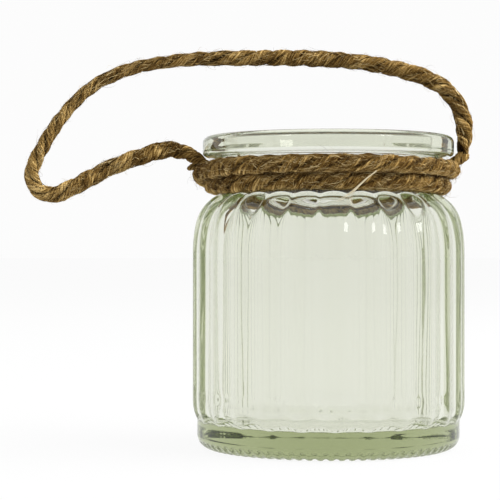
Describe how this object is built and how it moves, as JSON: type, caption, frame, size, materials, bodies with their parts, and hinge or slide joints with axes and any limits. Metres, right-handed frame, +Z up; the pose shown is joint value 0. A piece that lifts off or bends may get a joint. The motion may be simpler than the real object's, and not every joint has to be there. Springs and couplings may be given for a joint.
{
  "type": "mason jar lantern",
  "caption": "Ribbed clear glass lantern jar with a wide mouth, its neck wound with jute rope and a loose jute rope carrying handle above it.",
  "frame": {"origin": "middle of the foot ring, on the surface the jar stands on", "axes": "+Z up along the jar's own axis, +X to the right and -Y towards the viewer; the handle spans from -X to +X"},
  "size_m": [0.1653, 0.0998, 0.1464],
  "materials": {
    "glass": "clear pressed glass with a faint green cast",
    "wrap_rope": "three-strand natural jute rope, hairy",
    "handle_rope": "three-strand natural jute rope, hairy",
    "handle_tail": "untwisted jute yarns, pressed flat",
    "glue": "hot-melt glue, milky"
  },
  "bodies": {
    "jar": {"glass_jar": "glass", "neck_wrap": "wrap_rope", "handle_tail_left": "handle_tail", "handle_tail_right": "handle_tail", "glue_film_left": "glue", "glue_film_right": "glue"},
    "handle": {"rope_handle": "handle_rope"}
  },
  "joints": [
    {"name": "handle_swing", "type": "hinge", "parent": "jar", "child": "handle", "pos_m": [0, 0, 0.1069], "axis": [1, 0, 0], "range_deg": [-60, 60]}
  ]
}
